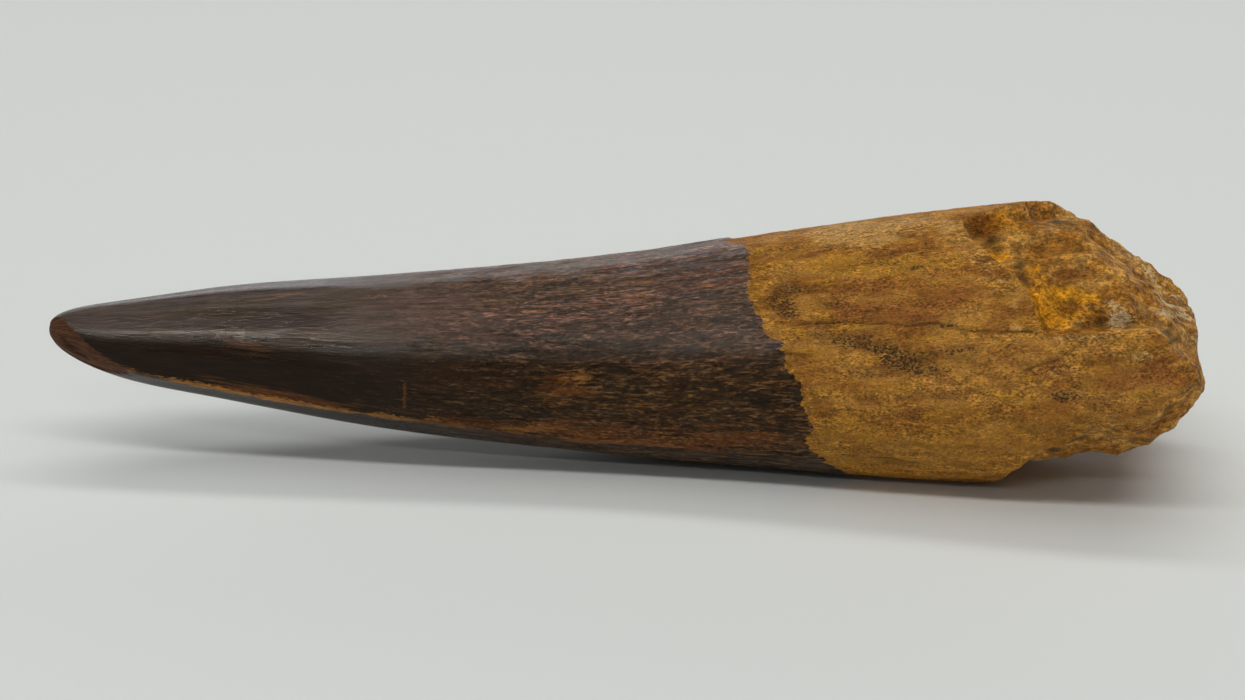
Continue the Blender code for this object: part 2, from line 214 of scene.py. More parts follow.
# Cracks, in mm: half width, depth, and the places that each runs through (distance from the tip, angle)
CRACKS = (
    (0.12, 0.14, (
        (73.9, 31.3), (78.1, 30.6), (82.4, 29), (84, 28.2), (85.8, 28.7), (87.6, 26.6), (89, 24.7),
        (93.2, 24), (94.8, 22.6),
    )),
    (0.12, 0.10, ((98.9, 19.7), (97.8, 15.6), (96.8, 12.2), (95.2, 10), (93.9, 7.7))),
    (0.16, 0.12, ((64.5, -35.6), (68.7, -36), (72.3, -35.6), (75.6, -35.8))),
    (0.15, 0.10, ((80.6, -36.2), (83.2, -36.6))),
    (0.16, 0.12, (
        (44, 35), (46.1, 33.3), (49, 29.8), (51.9, 25.8), (57.6, 20.6), (61, 17),
    )),
    (0.16, 0.12, ((45, 21.5), (46.3, 20.9), (51.9, 20.4), (57, 19))),
    (0.15, 0.10, ((44, 6.2), (46.8, 4.5), (52.1, 3.7))),
    (0.34, 0.22, ((1.9, -4), (2.4, -21), (3.1, -29), (4.2, -34))),
    (0.15, 0.10, ((71, 17.2), (73, 17), (75, 16.2))),
    (0.18, 0.14, ((70, 168), (78, 171), (86, 166), (97, 169))),
    (0.16, 0.10, ((30, 150), (42, 153), (55, 149))),
)

# A fine pale line without depth, where the enamel is crazed, in mm: half width, depth, places
CRAZES = ((0.10, 0, ((21.3, 67.9), (23.5, 68.2), (24.9, 72.9), (26.3, 76))),)

# Ridges that catch the light, in mm: half width, height, places
RIDGES = (
    (0.22, 0.09, ((43.5, 8.3), (45.8, 8.7), (50.1, 10.6), (53.4, 12.1), (57.5, 9.2))),
    (0.22, 0.06, ((25, 26), (33, 27), (43, 28))),
)
CRACK_WOBBLE = 0.22 * MM
CRACK_WOBBLE_LENGTH = 1.6 * MM

# Fine pale lines across the enamel: distance from the tip and lean along the tooth in mm, and the heights
# around it (-1 underside, 1 top) between which each runs. They waver, and fade at their ends
SEAMS = ((52, 9, -0.26, 0.10), (37.2, 0.6, -0.42, -0.02), (61.3, 0.8, -0.52, -0.22))
SEAM_WAVER = 1.5
SEAM_FADE = 0.05
SEAM_HALF_WIDTHS = (0.14, 0.03)

# Stains: distance from the tip, angle, half length, half width (all lengths in mm), strength
STAINS = {
    "yellow": (
        (75.3, 62, 3.2, 1.3, 0.8), (79.5, 56, 2.6, 0.9, 0.9), (83.5, 57, 3.2, 0.9, 1),
        (87, 58, 1.6, 0.8, 0.6), (69.8, 79, 1, 0.9, 0.9), (76.5, 66, 2.5, 0.9, 0.5),
        (80.1, -22.6, 0.9, 0.7, 1), (79.4, -16.5, 1.6, 0.8, 0.6), (76.5, -16, 3.2, 2.4, 0.5),
        (72.8, 27, 1.4, 0.7, 0.7), (92.7, -2, 1.6, 0.5, 0.8), (99.7, -16.5, 2.2, 0.6, 0.7),
        (78.3, 28.6, 3, 0.35, 0.7), (90, -10, 5, 2, 0.35), (84, 150, 5, 2, 0.9), (77, -120, 5, 3, 0.7),
        (93, 175, 4, 1.5, 0.8), (88, -80, 5, 2.5, 0.6), (73.5, 8, 1.2, 1.5, 0.5),
    ),
    "pale": (
        (76.5, 88, 3.6, 1.9, 0.8), (80.5, 78, 3.2, 1.4, 0.8), (78, 103, 4, 3, 0.9), (83, 89, 2.4, 1.6, 0.7),
        (87.6, 70, 1.9, 1.6, 0.5), (89.4, 58, 1.4, 1.6, 0.5), (91.6, 47, 1.3, 1.6, 0.4),
        (92.6, 36, 1.2, 1.8, 0.35), (86.5, 82, 1.2, 1.4, 0.8), (93, 26, 2.4, 0.5, 0.4),
        (99, 20.5, 3.2, 0.45, 0.8), (104, 11.7, 1.2, 0.6, 0.8), (97.5, 8, 4, 0.8, 0.35),
        (89.9, 12.6, 4, 0.8, 0.3), (88, 130, 4.5, 3, 0.7),
    ),
    "red": (
        (79.6, 37, 3.4, 0.9, 0.9), (83, 31.5, 3.4, 0.7, 0.9), (76, 74, 2.6, 0.9, 0.5),
        (72.8, 87, 2.6, 1.3, 0.5), (103.7, 3, 4.6, 1.2, 0.8), (82.4, 66, 3.2, 1, 0.7),
        (86.2, 40, 3.2, 2, 0.6), (80, 48, 2.8, 0.8, 0.9), (97, -6, 3.5, 0.8, 0.4), (90, -27, 6, 0.9, 0.5),
        (80.3, 88.7, 0.9, 0.55, 1), (85, 170, 5, 1.3, 0.8), (96, 150, 4, 2, 0.7), (80, -60, 5, 1.4, 0.6),
        (74.5, 13, 1, 0.7, 0.8),
    ),
    "dark": (
        (81.1, 18.5, 2.2, 0.7, 0.7), (84.3, 9.5, 2.2, 0.8, 1), (82.9, 14.5, 2, 0.8, 0.8),
        (86.6, -2, 2, 0.5, 0.6), (80.4, -2, 1.5, 0.6, 0.6), (97.5, -3, 1.7, 0.5, 1),
        (79.3, 23, 2.2, 0.6, 0.7), (86.6, 17, 2.4, 0.7, 0.5), (71.6, 45, 1.2, 1.5, 0.6),
        (73.6, 49, 1.5, 1.3, 0.5), (71.9, 66, 1.5, 1.6, 0.4), (76.6, 27, 3.2, 0.8, 0.5),
        (72.9, 38, 1.3, 1, 0.7), (78.7, -35, 2, 0.5, 0.6), (84.1, -37, 2, 0.5, 0.5), (89, 16, 1.5, 0.6, 0.4),
        (84, 55.5, 0.8, 0.35, 0.9), (86.5, 27, 1.2, 0.3, 0.7), (91.5, 30, 1, 0.5, 0.4),
        (80, 160, 3, 1.2, 0.9), (90, -150, 4, 1, 0.7), (75, -90, 2, 2, 0.6),
    ),
    "golden": (
        (54, 9, 0.9, 0.6, 0.9), (53, 6, 1.6, 0.5, 0.5), (54.2, 4.5, 0.5, 0.5, 0.8), (51, -1, 0.5, 0.5, 0.4),
        (39.6, -29, 1, 0.6, 0.7), (47, -32, 1.6, 0.6, 1), (49.6, -31.5, 1.2, 0.6, 0.9),
        (51.6, -27, 1.3, 0.5, 0.7), (54.5, -32, 2, 0.5, 0.7), (58, -30, 1.6, 0.5, 0.5),
        (63, -28, 2.6, 0.7, 0.4), (33.5, 68, 1.2, 0.3, 0.5), (71, -30, 1.4, 0.9, 0.3),
        (7.4, -31, 1.1, 0.35, 1), (8.9, -28, 0.8, 0.25, 0.8), (35, -36, 1.5, 0.5, 0.6),
    ),
    "rust": (
        (44, -30, 5, 0.9, 0.7), (53, -31, 6, 1.2, 1), (60, -34, 6, 1.2, 1), (67, -28, 6, 1.3, 0.8),
        (60, 60, 9, 2, 0.3), (52, 88, 8, 2.5, 0.3), (66, 72, 5, 2, 0.3), (22, 18, 5, 0.8, 0.5),
        (50, 170, 10, 3, 0.5), (40, -110, 12, 2, 0.5), (52, 0, 3, 1.2, 0.8), (25, -28, 10, 0.5, 0.8),
    ),
    "amber": (
        (94.4, 38.7, 1.5, 1.9, 1), (96.6, 40, 1.8, 2.2, 1), (99.2, 38.4, 1.6, 1.3, 0.8),
        (96.7, 29, 2.6, 0.9, 1), (91, 72.5, 0.9, 1.3, 0.8), (92.8, 42, 0.7, 1.4, 0.9),
        (92, 60, 0.5, 1.2, 0.6), (101, 125, 3, 2, 0.7), (91.8, 92, 2.6, 1.2, 0.7), (94.5, 58, 1, 1.2, 0.6),
        (104.5, -6, 3, 1.2, 0.8), (101, 60, 1.8, 1.2, 0.4),
    ),
    "burnt": (
        (97.5, 33.2, 1.4, 1.1, 0.7), (96.8, 54.8, 0.7, 0.6, 1), (98.5, 56, 1.7, 1.1, 0.7),
        (89.4, 91, 1.4, 1.2, 1), (94, 92, 2.4, 0.8, 0.7), (97.5, 75, 2.4, 1.2, 0.4),
        (103.5, 75, 1.6, 1.2, 0.6),
    ),
    "moss": (
        (90.2, 82, 1.1, 0.9, 1), (93, 62, 0.6, 1.2, 1), (93.6, 52, 0.5, 0.8, 0.8), (96, 101, 1.3, 0.6, 1),
        (100.2, 27.3, 0.6, 0.6, 1), (94.8, 94.5, 2.2, 0.3, 0.9), (91.3, 76, 0.6, 0.7, 0.7),
        (106.2, 20.5, 0.7, 0.5, 1), (106.5, 17, 0.7, 0.4, 0.9), (98.7, -25, 1.3, 0.4, 1),
        (96.9, -32, 0.9, 0.5, 1), (105, -14, 1.6, 0.3, 0.7),
    ),
    "mineral": (
        (101.2, 35, 1, 0.8, 0.5), (102, 27.9, 0.9, 0.9, 1), (104.6, 108, 1.3, 1.6, 0.7),
        (105.3, 85, 1.3, 1.6, 0.7), (105.8, 57, 1.2, 1.2, 0.8), (105.9, 34, 1.1, 1, 0.8),
        (107.3, 60, 1.3, 1.4, 0.8), (108, 45, 1, 1.6, 0.9), (108.3, 15, 0.9, 1.2, 0.5),
        (107.6, 110, 2, 2.5, 0.6),
    ),
}
STAIN_WARP = 0.55
STAIN_WARP_LENGTH = 2.4 * MM
STAIN_WARP_WIDTH = 1.5 * MM

# Random values of the noise, and shifts into them that give each relief its own part
NOISE_SIZE = 32
NOISE = np.random.default_rng(20).uniform(-1.0, 1.0, (NOISE_SIZE, NOISE_SIZE, NOISE_SIZE))
FLUTE_NOISE = 7.5
ROOT_NOISE = 3.5
FLAKE_NOISE = 11.5
WRINKLE_NOISE = 2.3
FIBRE_NOISE = 5.9
GRAIN_NOISE = 9.1
WARP_NOISE = 13.7

# Where the mesh's layers begin and are full: depth of a break, and inset from the lips of flake and facet
BROKEN_DEPTHS = (0.05 * MM, 0.35 * MM)
FLAKE_FRINGE = (-0.1 * MM, 0.3 * MM)
FACET_FRINGE = (-0.1 * MM, 0.35 * MM)

# Zones of the enamel: where it is fully grown, where painted shade darkens it low down, and where it is
# glossy, from none to full. Distances from the tip and from the carina's crest are in mm, and heights around
# the tooth run from -1 to 1
GROWN_ALONG = (26.0, 50.0)
PAINTED_SHADE_ALONG = (58.0, 30.0)
PAINTED_SHADE_AROUND = (0.62, 0.25)
GLOSSY_AROUND = (0.22, 0.40)
GLOSSY_BELOW_CREST = (0.2, -0.6)
GLOSS_WEAKENS_ALONG = (34.0, 46.0)
WEAR_STARTS_ALONG = (11.0, 15.0)
WEAR_ENDS_ALONG = (40.0, 34.0)
WEAR_REACH = 0.42

# Heights in the material's bump, in mm. The enamel has two each, near the tip and where it is fully grown
WRINKLE_BUMPS = (0.006, 0.110)
THREAD_BUMPS = (0.004, 0.025)
GRAIN_BUMPS = (0.004, 0.060)
MOTTLE_BUMP = 0.10
SPECK_BUMP = 0.06
LUMP_BUMP = 0.24
BREAK_GRAIN_BUMP = 0.12

# Camera: the photograph's view
CAMERA_AZIMUTH = math.radians(8)
CAMERA_ELEVATION = math.radians(20)
CAMERA_DISTANCE = 250 * MM
CAMERA_TARGET = Vector((-0.74 * MM, 1.4 * MM, 9.1 * MM))
FOCAL_PIXELS = 2640
PHOTO_WIDTH = 1245
SENSOR_WIDTH = 36.0

# Colours, linear
CROWN_BLACK = (0.010, 0.006, 0.003)
# Painted shade, laid low on the crown towards the tip
CROWN_PAINTED_SHADE = (0.012, 0.006, 0.003)
CROWN_BROWN = (0.098, 0.043, 0.013)
# Plum of the upper crown: partly the enamel's own colour, partly a painted sheen from above
CROWN_PLUM_SHEEN = (0.185, 0.090, 0.058)
CROWN_SMOKE = (0.052, 0.031, 0.024)
CROWN_OLIVE = (0.060, 0.037, 0.013)
CROWN_BUFF = (0.300, 0.190, 0.115)
CROWN_GOLD = (0.420, 0.175, 0.035)
CROWN_RUST = (0.215, 0.068, 0.014)
FACET_BROWN = (0.105, 0.040, 0.018)
ROOT_TAN = (0.610, 0.282, 0.050)
ROOT_OCHRE = (0.630, 0.290, 0.030)
ROOT_BROWN = (0.400, 0.155, 0.020)
ROOT_RED = (0.370, 0.128, 0.024)
ROOT_PALE = (0.700, 0.385, 0.110)
ROOT_DARK = (0.040, 0.023, 0.008)
BREAK_BROWN = (0.420, 0.170, 0.020)
BREAK_TAN = (0.640, 0.310, 0.060)
BREAK_AMBER = (0.720, 0.300, 0.010)
BREAK_BURNT = (0.210, 0.062, 0.004)
BREAK_MOSS = (0.055, 0.038, 0.008)
BREAK_MINERAL = (0.800, 0.580, 0.290)

# Gloss and roughness
GLOSSY_LEVEL = 0.60
DULL_LEVEL = 0.12
ROOT_GLOSS_LEVEL = 0.18
CROWN_ROUGHNESSES = (0.19, 0.20)
WORN_ROUGHNESS = 0.55
ROOT_ROUGHNESS = 0.62
DARK_STAIN_ROUGHNESS = 0.50
BREAK_ROUGHNESS = 0.60
GLITTER_ROUGHNESS = 0.2
FLOOR_ROUGHNESS = 0.85

# Surroundings
FLOOR_COLOUR = (0.80, 0.815, 0.780, 1.0)
WORLD_COLOUR = (0.93, 0.97, 1.0, 1.0)
WORLD_STRENGTH = 0.12
GLINT_COLOUR = (1.0, 0.92, 0.80)


def smooth_step(value, start, end):
    """0 below start, 1 above end, and an even curve between them."""
    share = np.clip((value - start) / (end - start), 0.0, 1.0)
    return share * share * (3.0 - 2.0 * share)


def smooth_curve(value, points):
    """The smooth curve through points, with its slope at each point taken from the neighbours."""
    places, heights = (np.array(column, dtype=float) for column in zip(*points))
    slopes = np.gradient(heights, places)
    value = np.clip(value, places[0], places[-1])
    index = np.clip(np.searchsorted(places, value, side="right") - 1, 0, len(places) - 2)
    span = places[index + 1] - places[index]
    share = (value - places[index]) / span
    rise = heights[index + 1] - heights[index]
    start_bend = slopes[index] * span - rise
    end_bend = rise - slopes[index + 1] * span
    bend = (1.0 - share) * start_bend + share * end_bend
    return heights[index] + share * rise + share * (1.0 - share) * bend


def lattice_noise(points):
    """Smooth noise between -1 and 1, with one lattice cell to a unit of length."""
    cell = np.floor(points).astype(int)
    inside = points - cell
    inside = inside * inside * (3.0 - 2.0 * inside)
    total = 0.0
    for corner in itertools.product((0, 1), repeat=3):
        x, y, z = np.moveaxis((cell + corner) % NOISE_SIZE, -1, 0)
        total = total + NOISE[x, y, z] * np.where(corner, inside, 1.0 - inside).prod(axis=-1)
    return total


def ridge_noise(points):
    """Noise with sharp crests, about 0 on average."""
    return RIDGE_OFFSET - 2.0 * np.abs(lattice_noise(points))


def around(distance, angle, length_size, width_size):
    """Noise coordinates on the tooth's surface, which close up around it and follow its length."""
    girth = ROOT_HALF_WIDTH / width_size
    return np.stack([distance / length_size, girth * np.cos(angle), girth * np.sin(angle)], axis=-1)


def axis_height(distance):
    """Height of the tooth's axis above the resting surface."""
    return smooth_curve(distance, np.array(AXIS_HEIGHT) * MM)


def axis_bow(distance):
    """How far the axis bows towards -Y."""
    return -AXIS_BOW * np.sin(math.pi / 2 * np.clip(distance / AXIS_BOW_LENGTH, 0.0, 1.0))


def half_width(distance):
    """Half the section's longer width."""
    shares = [(share ** WIDTH_POWER, width) for share, width in WIDTH_PROFILE]
    share = np.clip(distance / TOOTH_LENGTH, 0.0, 1.0)
    return ROOT_HALF_WIDTH * smooth_curve(share ** WIDTH_POWER, shares)


def turn_between(angle, other):
    """Signed turn from other to angle, between -180 and 180 degrees, in radians."""
    return (angle - other + math.pi) % (2.0 * math.pi) - math.pi


def edge_place(angle, edge):
    """Distance from the tip of an edge that runs around the tooth."""
    points = [(degrees, place * MM) for degrees, place in edge]
    return smooth_curve(np.degrees(turn_between(angle, 0.0)), points)


def enamel_edge(angle):
    """Distance from the tip at which the enamel ends, with its jagged edge."""
    jags = sum(depth * lattice_noise(around(np.zeros_like(angle), angle, width, width))
               for width, depth in ENAMEL_EDGE_JAGS)
    return edge_place(angle, ENAMEL_EDGE) + jags


def carina_turn(distance, angle):
    """Turn from the nearer carina's crest, in radians."""
    crest = np.radians(smooth_curve(distance, CARINA_LINE))
    near = turn_between(angle, crest)
    far = turn_between(angle, crest + math.pi)
    return np.where(np.abs(near) < np.abs(far), near, far)


def carina_relief(distance, angle, long_width):
    """The ridge of a carina, on both ends of the section's long axis."""
    ridge = np.exp(-((carina_turn(distance, angle) * long_width / CARINA_HALF_WIDTH) ** 2))
    grows = smooth_step(distance, CARINA_START, CARINA_START + CARINA_FADE)
    return CARINA_HEIGHT * ridge * grows


def flute_relief(distance, angle):
    """Shallow flutes, which wander a little along the crown."""
    wander = FLUTE_WANDER * lattice_noise(around(distance, angle, FLUTE_WANDER_LENGTH, FLUTE_WANDER_WIDTH))
    fade = lattice_noise(around(distance, angle, FLUTE_FADE_LENGTH, FLUTE_FADE_WIDTH) + FLUTE_NOISE)
    strength = FLUTE_WEAKEST + (1.0 - FLUTE_WEAKEST) * (1.0 + fade) / 2
    slender = smooth_step(distance, 0.0, FLUTE_FULL_FROM)
    return FLUTE_DEPTH * slender * strength * np.cos(FLUTE_COUNT * angle + math.pi * wander)


def root_relief(distance, angle):
    """Lengthwise swells of the root."""
    grain = lattice_noise(around(distance, angle, ROOT_SWELL_LENGTH, ROOT_SWELL_WIDTH) + ROOT_NOISE)
    return ROOT_SWELL * grain


def facet_inset(distance, angle):
    """How far inside the tip's worn facet a place lies, negative outside it."""
    return edge_place(angle, FACET_EDGE) - distance


def flake_inset(distance, angle):
    """How far inside the flake's lip a place lies, negative outside it."""
    above_ledge = (turn_between(angle, 0.0) - FLAKE_LOWER_ANGLE) * half_width(distance)
    return np.minimum(distance - edge_place(angle, FLAKE_LIP), above_ledge)


def flake_relief(distance, angle):
    """Depth lost with the flake: a wall at the lip, a channel at its foot, deeper towards the end."""
    inset = flake_inset(distance, angle)
    wall = smooth_step(inset, 0.0, FLAKE_WALL)
    deepens = 1.0 + FLAKE_DEEPENS_BY * smooth_step(inset, 0.0, FLAKE_DEEPENS_OVER)
    foot = FLAKE_FOOT_DEPTH * np.exp(-(((inset - FLAKE_FOOT_WIDTH / 2) / FLAKE_FOOT_WIDTH) ** 2))
    grain = lattice_noise(around(distance, angle, FLAKE_LUMP_LENGTH, FLAKE_LUMP_WIDTH) + FLAKE_NOISE)
    return -wall * (FLAKE_DEPTH * deepens + foot + FLAKE_LUMPS * grain - swelling_relief(distance, angle))


def mound(distance, angle, place, degrees, length, width, along=0.0, across=0.0):
    """1 at a place on the surface, falling to 0 all round it, moved along and across by shares of its size.

    The place, the half length and the half width are in mm.
    """
    lengthwise = (distance - place * MM) / (length * MM)
    sideways = turn_between(angle, math.radians(degrees)) * half_width(distance) / (width * MM)
    return np.exp(-((lengthwise + along) ** 2) - (sideways + across) ** 2)


def swelling_relief(distance, angle):
    """Swellings and hollows of the flake's floor."""
    return sum(height * MM * mound(distance, angle, *spot) for *spot, height in SWELLINGS)


def pit_relief(distance, angle):
    """Round pits."""
    return -sum(depth * MM * mound(distance, angle, place, degrees, radius, radius)
                for place, degrees, radius, depth in PITS)


def grown_radius(distance, angle):
    """Distance from the axis to the surface of crown and root, before the breaks at the end."""
    long_width = np.maximum(half_width(distance), SMALLEST_WIDTH)
    short_width = SECTION_RATIO * long_width
    turn = angle - LONG_AXIS_ANGLE
    section = long_width * short_width / np.hypot(short_width * np.cos(turn), long_width * np.sin(turn))
    on_root = smooth_step(distance - enamel_edge(angle), -ENAMEL_EDGE_BEVEL, 0.0)
    *keel, keel_height = KEEL
    crown = carina_relief(distance, angle, long_width) + flute_relief(distance, angle)
    crown = crown + keel_height * MM * mound(distance, angle, *keel)
    root = root_relief(distance, angle) - ENAMEL_THICKNESS + flake_relief(distance, angle)
    facet = -FACET_DEPTH * smooth_step(facet_inset(distance, angle), 0.0, FACET_BEVEL)
    return section + (1.0 - on_root) * crown + on_root * root + facet + pit_relief(distance, angle)


def beyond_face(points, place, facing):
    """How far points lie beyond a flat face of a break."""
    return (points - np.array(place) * MM) @ (np.array(facing) / np.linalg.norm(facing))


def break_lumps(points):
    """Lumps, hollows and sharp little ridges of the broken faces."""
    lumps = sum(depth * lattice_noise(points / size + size / MM) for size, depth in BREAK_LUMPS)
    ridges = sum(depth * (np.abs(lattice_noise(points / size - size / MM)) - RIDGE_LEVEL)
                 for size, depth in BREAK_RIDGES)
    spots = 0.0
    for place, radius, height in BREAK_SPOTS:
        away = points - np.array(place) * MM
        spots = spots + height * MM * np.exp(-(away ** 2).sum(axis=-1) / (radius * MM) ** 2)
    return lumps + ridges - spots


def place_on_tooth(points):
    """Distance from the tip, angle around the axis and distance from the axis, of points in space."""
    distance = points[..., 0]
    forward = points[..., 1] - axis_bow(distance)
    upward = points[..., 2] - axis_height(distance)
    return distance, np.arctan2(upward, -forward), np.hypot(forward, upward)


def beyond_breaks(points):
    """How far points lie beyond the broken faces, negative where they are kept."""
    lumps = break_lumps(points)
    most = np.full(points.shape[:-1], -RAY_REACH)
    for roughness, *faces in BREAKS:
        beyond = np.min([beyond_face(points, *face) for face in faces], axis=0) + roughness * lumps
        most = np.maximum(most, beyond)
    return most


def outside_by(points):
    """How far points lie outside the tooth, negative inside. X here is the distance from the tip."""
    distance, angle, radius = place_on_tooth(points)
    measure = radius - grown_radius(distance, angle)
    near_end = distance > BREAK_REACH
    measure[near_end] = np.maximum(measure[near_end], beyond_breaks(points[near_end]))
    return measure


def rays(rings, angles):
    """Start and direction of the ray for each ring number and angle."""
    share = rings / RINGS
    place = np.interp(share, RING_SHARES, RING_PLACES)
    place = np.where(place < TIP_SPAN, place ** 2 / TIP_SPAN, place)
    cap = np.clip((share - CAP_SHARE) / (1.0 - CAP_SHARE), 0.0, 1.0)
    start = place + CAP_SLIDE * (1.0 - (1.0 - cap) ** 2)
    lean = math.pi / 2 * cap
    origin = np.stack([start, axis_bow(start), axis_height(start)], axis=-1)
    sideways = np.cos(lean)
    direction = np.stack([np.sin(lean), -sideways * np.cos(angles), sideways * np.sin(angles)], axis=-1)
    return origin, direction


def surface_points(origin, direction):
    """Where each ray meets the surface, found by halving."""
    near = np.zeros(origin.shape[:-1])
    far = np.full(origin.shape[:-1], RAY_REACH)
    for _ in range(RAY_HALVINGS):
        middle = (near + far) / 2
        inside = outside_by(origin + middle[..., None] * direction) < 0.0
        near = np.where(inside, middle, near)
        far = np.where(inside, far, middle)
    return origin + near[..., None] * direction


def bent(points):
    """The points after the crown's bend."""
    share = BEND_SHARE * np.clip(1.0 - points[..., 0] / BEND_START, 0.0, 1.0) ** BEND_POWER
    return points + share[..., None] * (np.array(BEND_TOWARDS) - points)


def line_strength(distance, angle, lines):
    """For lines on the surface: 1 on a line and 0 away from it, and the depth that the lines take away."""
    wobble = CRACK_WOBBLE * lattice_noise(around(distance, angle, CRACK_WOBBLE_LENGTH, CRACK_WOBBLE_LENGTH))
    width = half_width(distance)
    strength = np.zeros_like(distance)
    taken = np.zeros_like(distance)
    for half, depth, path in lines:
        nearest = np.full_like(distance, RAY_REACH)
        for (start, start_degrees), (end, end_degrees) in itertools.pairwise(path):
            along = distance - start * MM
            across = turn_between(angle, math.radians(start_degrees)) * width + wobble
            run = (end - start) * MM
            climb = math.radians(end_degrees - start_degrees) * width
            share = np.clip((along * run + across * climb) / (run ** 2 + climb ** 2), 0.0, 1.0)
            nearest = np.minimum(nearest, np.hypot(along - share * run, across - share * climb))
        line = np.exp(-((nearest / (half * MM)) ** 2))
        strength = np.maximum(strength, line)
        taken = np.maximum(taken, depth * MM * line)
    return strength, taken


def stain_strength(distance, angle, stains):
    """0 to 1: how strongly the stains of one kind colour each place."""
    warp = around(distance, angle, STAIN_WARP_LENGTH, STAIN_WARP_WIDTH)
    along = STAIN_WARP * lattice_noise(warp + WARP_NOISE)
    across = STAIN_WARP * lattice_noise(warp - WARP_NOISE)
    total = np.zeros_like(distance)
    for *stain, strength in stains:
        total = total + strength * mound(distance, angle, *stain, along, across)
    return np.clip(total, 0.0, 1.0)


def fine_relief(points, distance, angle, on_root, broken, in_flake):
    """Height of the fine relief over the form, and how high or low each place is, as a share of the most."""
    wrinkles = sum(height * ridge_noise(around(distance, angle, length, width) + WRINKLE_NOISE)
                   for length, width, height in WRINKLES)
    wrinkles = wrinkles * smooth_step(distance, WRINKLES_START, WRINKLES_FULL_FROM)
    fibres = sum(height * ridge_noise(around(distance, angle, length, width) + FIBRE_NOISE)
                 for length, width, height in FIBRES)
    grains = sum(height * ridge_noise(points / size + GRAIN_NOISE) for size, height in GRAINS)
    wrinkles_most, fibres_most, grains_most = (
        sum(height for *_, height in layers) for layers in (WRINKLES, FIBRES, GRAINS)
    )
    grainy = np.maximum(broken, FLAKE_FLOOR_GRAIN * in_flake)
    whole = 1.0 - np.maximum(broken, in_flake)
    height = (1.0 - on_root) * wrinkles + on_root * (whole * fibres + grainy * grains)
    level = (1.0 - on_root) * wrinkles / wrinkles_most
    level = level + on_root * (whole * fibres / fibres_most + (1.0 - whole) * grains / grains_most)
    return height, level


def sphere_mesh():
    """A fine sphere with its poles on the Z axis, and the places of its corners."""
    shape = bmesh.new()
    bmesh.ops.create_uvsphere(shape, u_segments=SEGMENTS, v_segments=RINGS, radius=1.0)
    mesh = bpy.data.meshes.new("fossil_tooth")
    shape.to_mesh(mesh)
    shape.free()
    corners = np.zeros(len(mesh.vertices) * 3)
    mesh.vertices.foreach_get("co", corners)
    return mesh, corners.reshape(-1, 3)


def move_corners(mesh, places):
    """Move the mesh's corners, and give the mesh's normals there."""
    mesh.vertices.foreach_set("co", places.ravel())
    mesh.update()
    normals = np.zeros(places.size)
    mesh.vertices.foreach_get("normal", normals)
    return normals.reshape(-1, 3)


def tooth_mesh():
    """A sphere whose corners are laid on the tooth, with the fine relief and the material's layers."""
    mesh, corners = sphere_mesh()
    rings = np.round(np.arccos(np.clip(corners[:, 2], -1.0, 1.0)) / math.pi * RINGS)
    points = surface_points(*rays(rings, np.arctan2(corners[:, 1], corners[:, 0])))
    placed = bent(points) + FRAME_SHIFT
    normals = move_corners(mesh, placed)

    distance, angle, radius = place_on_tooth(points)
    past_enamel = distance - enamel_edge(angle)
    on_root = smooth_step(past_enamel, -ENAMEL_EDGE_BEVEL, 0.0)
    broken = smooth_step(grown_radius(distance, angle) - radius, *BROKEN_DEPTHS)
    in_flake = on_root * smooth_step(flake_inset(distance, angle), *FLAKE_FRINGE)
    height, level = fine_relief(points, distance, angle, on_root, broken, in_flake)
    cracks, crack_depth = line_strength(distance, angle, CRACKS)
    crazes, _ = line_strength(distance, angle, CRAZES)
    _, ridge_height = line_strength(distance, angle, RIDGES)
    intact = 1.0 - broken
    height = height + intact * (ridge_height - crack_depth)
    placed = placed + height[:, None] * normals
    placed[:, 2] = np.maximum(placed[:, 2], 0.0)
    move_corners(mesh, placed)

    grain = mesh.attributes.new("grain", "FLOAT_VECTOR", "POINT")
    grain.data.foreach_set("vector", around(distance, angle, MM, MM).astype(np.float32).ravel())
    layers = {
        "past_enamel": past_enamel / MM,
        "from_tip": distance / MM,
        "from_crest": carina_turn(distance, angle) * half_width(distance) / MM,
        "upward": np.sin(angle),
        "facet": smooth_step(facet_inset(distance, angle), *FACET_FRINGE),
        "broken": broken,
        "in_flake": in_flake,
        "level": level,
        "crack": cracks * intact,
        "craze": crazes * intact,
    }
    for name, stains in STAINS.items():
        layers[name] = stain_strength(distance, angle, stains)
    for name, values in layers.items():
        layer = mesh.attributes.new(name, "FLOAT", "POINT")
        layer.data.foreach_set("value", values.astype(np.float32))
    mesh.shade_smooth()
    return mesh


